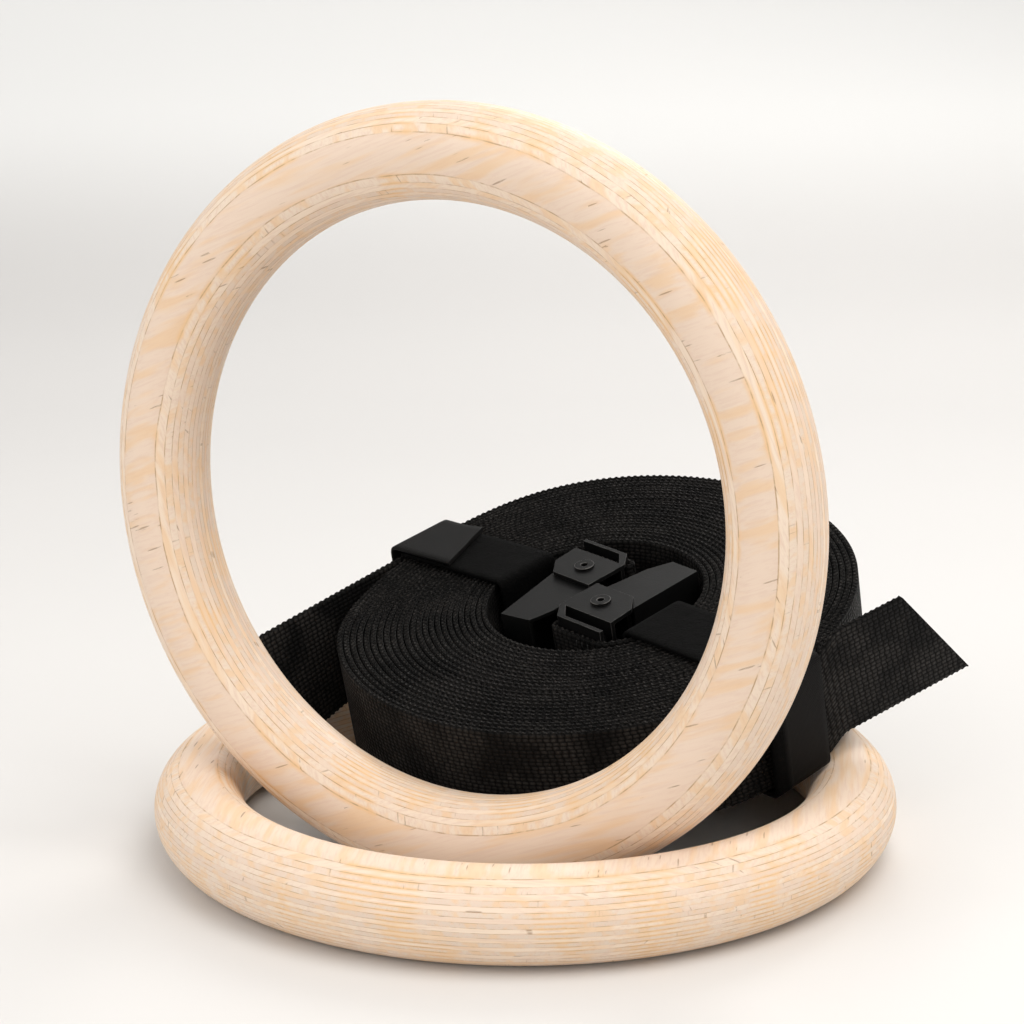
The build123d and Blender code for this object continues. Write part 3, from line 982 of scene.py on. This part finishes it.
stitchTree, stitchIds = makeStitchTree()
thread = threadMaterial()
loopMiddle = (sewnLoop["left"] + sewnLoop["right"]) / 2
loopFace = sewnLoop["middle"] + sewnLoop["radius"] + webbing["thickness"] / 2
for key, sign in (("1", -1), ("2", 1)):
    across = (loopMiddle + stitches["offset"]) * sign
    place = coilFrame @ (Vector((across, loopFace * sign, -webbing["width"] / 2)) * mm)
    turn = (coilFrame.to_3x3() @ Matrix(((1, 0, 0), (0, 0, 1), (0, -1, 0))).transposed()).to_euler()
    sewn = growPiece("strap_" + key + "_stitches", stitchTree, stitchIds, {
        "Rows": stitches["rows"], "Per Row": stitches["perRow"], "Row Gap": stitches["rowGap"] * mm,
        "Row Length": webbing["width"] * mm * (stitches["perRow"] - 1) / (stitches["perRow"] + 1),
        "Stitch Length": stitches["length"] * mm, "Thread Radius": stitches["thickness"] / 2 * mm,
        "Place": tuple(place), "Turn": tuple(turn), "Material": thread,
    })
    outwardNormals(sewn.data)
    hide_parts("strap_" + key + "_stitching")
    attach(sewn, "strap_bundle")
print("stitches sewn")


# camera, floor and lights
view = {
    "place": (-0.01065, -0.75395, 0.28280),
    "right": (0.99990, -0.01064, -0.00597),
    "up": (0.00817, 0.22789, 0.97363),
    "lens": 86.66,
}
cameraData = bpy.data.cameras.new("camera")
cameraData.lens = view["lens"]
cameraData.sensor_width = 36.0
cameraData.clip_start = 0.01
camera = bpy.data.objects.new("camera", cameraData)
right = Vector(view["right"]).normalized()
back = right.cross(Vector(view["up"])).normalized()
pose = Matrix((right, back.cross(right), back)).transposed().to_4x4()
pose.translation = view["place"]
camera.matrix_world = pose
bpy.context.scene.collection.objects.link(camera)
bpy.context.scene.camera = camera

studio = {
    "floor": (0.72, 0.71, 0.70, 1),
    # painted shade: the floor's colour further back, darker than the near floor
    "shadedFarFloor": (0.60, 0.591, 0.585, 1),
    "wall": (0.68, 0.672, 0.660, 1),
    "floorHalf": 5.0,
    "bendStart": 1.1,
    "bendRadius": 1.0,
    "wallHeight": 3.5,
    "wallGlow": (0.13, 0.138, 0.142, 1),
    "sky": (1.0, 0.985, 0.965, 1),
    "skyStrength": 0.74,
    "aim": (0, 0, 0.08),
    "key": {"place": (0.80, -0.55, 1.95), "size": 1.9, "watts": 26.5, "colour": (1.0, 0.965, 0.92)},
    "fill": {"place": (-1.3, -1.0, 1.1), "size": 1.6, "watts": 8.5, "colour": (0.97, 0.985, 1.0)},
    "rim": {"place": (0.4, 1.2, 1.0), "size": 0.8, "watts": 7.0, "colour": (1.0, 0.98, 0.95)},
}


def makeBackdrop():
    profile = [(-studio["floorHalf"], 0.0), (studio["bendStart"], 0.0)]
    for step in range(1, 17):
        angle = pi / 2 * step / 16
        forward = studio["bendStart"] + studio["bendRadius"] * sin(angle)
        profile.append((forward, studio["bendRadius"] * (1 - cos(angle))))
    profile.append((profile[-1][0], studio["wallHeight"]))
    vertices = [(side * studio["floorHalf"], y, z) for y, z in profile for side in (-1, 1)]
    faces = [(2 * i, 2 * i + 1, 2 * i + 3, 2 * i + 2) for i in range(len(profile) - 1)]
    mesh = bpy.data.meshes.new("backdrop")
    mesh.from_pydata(vertices, [], faces)
    for polygon in mesh.polygons:
        polygon.use_smooth = True
    material, tree, shader = newMaterial("pale backdrop")
    coords = objectCoords(tree)
    place = separate(tree, coords)
    mottle = between(tree, noise(tree, coords, 3.0, 2.0), 0.3, 0.7, 0.0, 0.08)
    # painted shade: the floor is painted darker towards the back, in blotches
    farFloorShade = calc(tree, "ADD", between(tree, place[1], -0.10, 0.85), mottle, clamp=True)
    colour = blendColour(tree, farFloorShade, studio["floor"], studio["shadedFarFloor"])
    raised = between(tree, place[2], 0.0, 0.13)
    setShader(tree, shader, {
        "Base Color": blendColour(tree, raised, colour, studio["wall"]),
        "Emission Color": blendColour(tree, raised, (0, 0, 0, 1), studio["wallGlow"]),
        "Emission Strength": 1.0,
        "Roughness": 0.55,
        "Specular IOR Level": 0.2,
    })
    mesh.materials.append(material)
    backdrop = bpy.data.objects.new("backdrop", mesh)
    bpy.context.scene.collection.objects.link(backdrop)


def addSoftbox(name, spec):
    data = bpy.data.lights.new(name, "AREA")
    data.shape = "DISK"
    data.size = spec["size"]
    data.energy = spec["watts"]
    data.color = spec["colour"]
    light = bpy.data.objects.new(name, data)
    light.location = spec["place"]
    aim = Vector(studio["aim"]) - light.location
    light.rotation_euler = aim.to_track_quat("-Z", "Y").to_euler()
    bpy.context.scene.collection.objects.link(light)


makeBackdrop()
for name in ("key", "fill", "rim"):
    addSoftbox(name, studio[name])
world = bpy.data.worlds.new("studio")
world.use_nodes = True
world.node_tree.nodes["Background"].inputs[0].default_value = studio["sky"]
world.node_tree.nodes["Background"].inputs[1].default_value = studio["skyStrength"]
bpy.context.scene.world = world
bpy.context.scene.view_settings.view_transform = "Standard"
print("studio ready")
